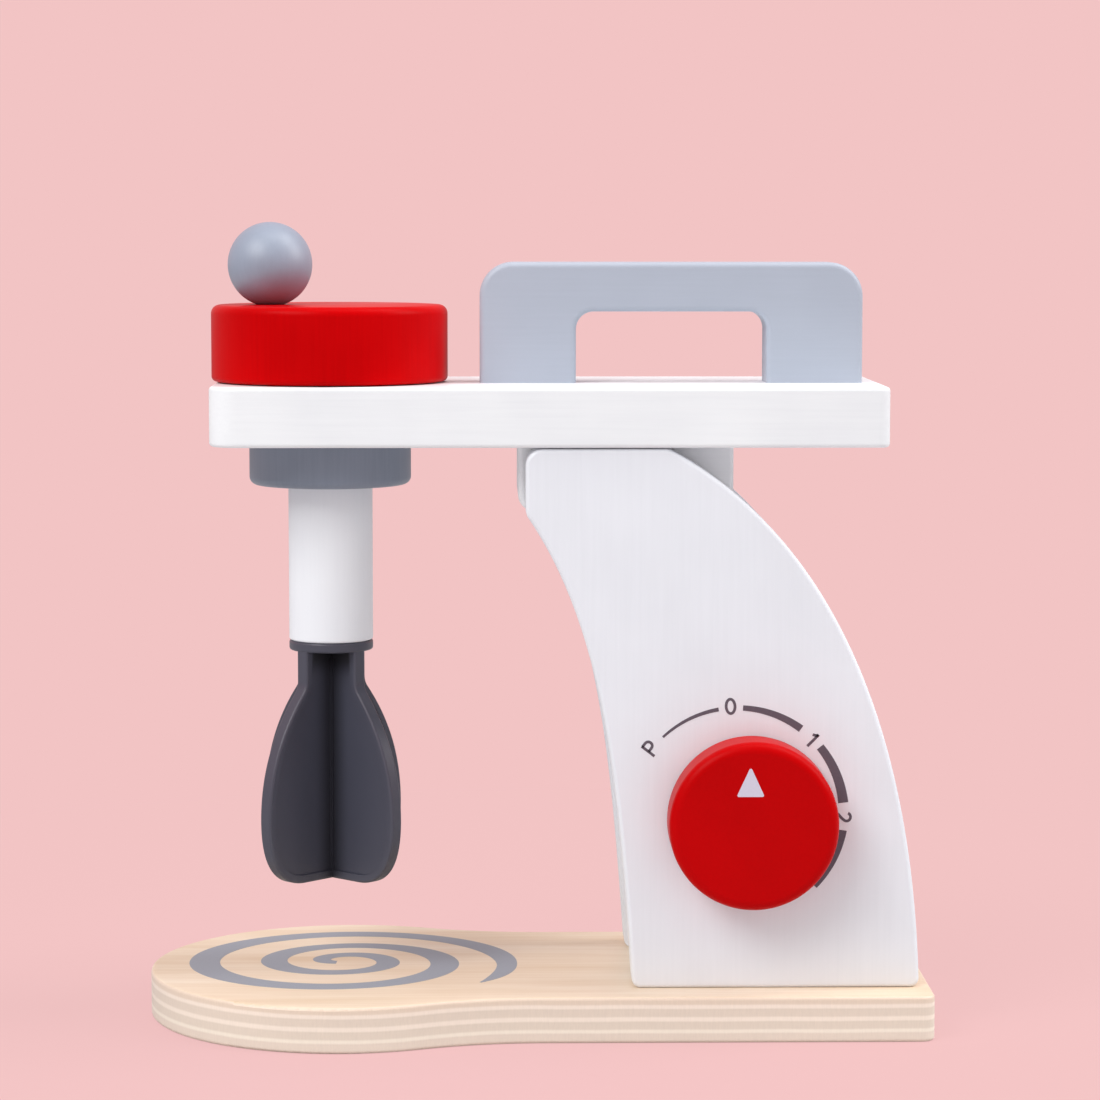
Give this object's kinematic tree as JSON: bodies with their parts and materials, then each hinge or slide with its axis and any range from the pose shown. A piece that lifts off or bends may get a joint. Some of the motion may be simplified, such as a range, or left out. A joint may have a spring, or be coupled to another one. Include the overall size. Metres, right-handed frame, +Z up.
{
  "type": "toy stand mixer",
  "caption": "Free-standing painted wooden toy mixer: a head that tilts back on a two-cheek column, a hand-cranked spindle with a moulded whisk, and a turning dial.",
  "frame": {"origin": "middle of the base's underside, on the surface the toy stands on", "axes": "+Z up; +X from the bowl end towards the column; the dial faces -Y"},
  "size_m": [0.231, 0.117, 0.2365],
  "materials": {
    "plywood": "clear satin lacquer over bare plywood",
    "white_paint": "satin white paint on wood",
    "red_paint": "satin red paint on wood",
    "blue_grey_paint": "satin light blue-grey paint on wood",
    "grey_paint": "satin grey paint on wood",
    "slate_paint": "satin slate-grey paint on wood",
    "charcoal_plastic": "moulded, fine matt texture",
    "beech": "bare turned dowel",
    "zinc_steel": "zinc plated",
    "fibre_washer": "pressed fibre"
  },
  "bodies": {
    "base": {"base_board": "plywood", "base_screws": "zinc_steel", "front_cheek": "white_paint", "rear_cheek": "white_paint", "column_spacer": "white_paint", "spacer_dowels": "beech", "hinge_pin": "beech", "hinge_washers": "fibre_washer"},
    "head": {"head_board": "white_paint", "hinge_block": "white_paint", "block_dowels": "beech", "handle": "blue_grey_paint", "handle_dowels": "beech"},
    "mixer": {"crank_disc": "red_paint", "crank_ball": "grey_paint", "ball_peg": "beech", "disc_washer": "fibre_washer", "spindle_axle": "beech", "collar": "slate_paint", "shaft": "white_paint", "whisk": "charcoal_plastic"},
    "dial": {"dial_knob": "red_paint", "dial_washer": "fibre_washer", "dial_peg": "beech", "dial_retainer": "beech", "dial_screw": "zinc_steel"}
  },
  "joints": [
    {"name": "head_tilt", "type": "hinge", "parent": "base", "child": "head", "pos_m": [0.037, 0, 0.1388], "axis": [0, 1, 0], "range_deg": [0, 56]},
    {"name": "mixer_spin", "type": "hinge", "parent": "head", "child": "mixer", "pos_m": [-0.061, 0, 0.18], "axis": [0, 0, 1], "continuous": true},
    {"name": "dial_turn", "type": "hinge", "parent": "base", "child": "dial", "pos_m": [0.0623, -0.0345, 0.0637], "axis": [0, -1, 0], "continuous": true}
  ]
}
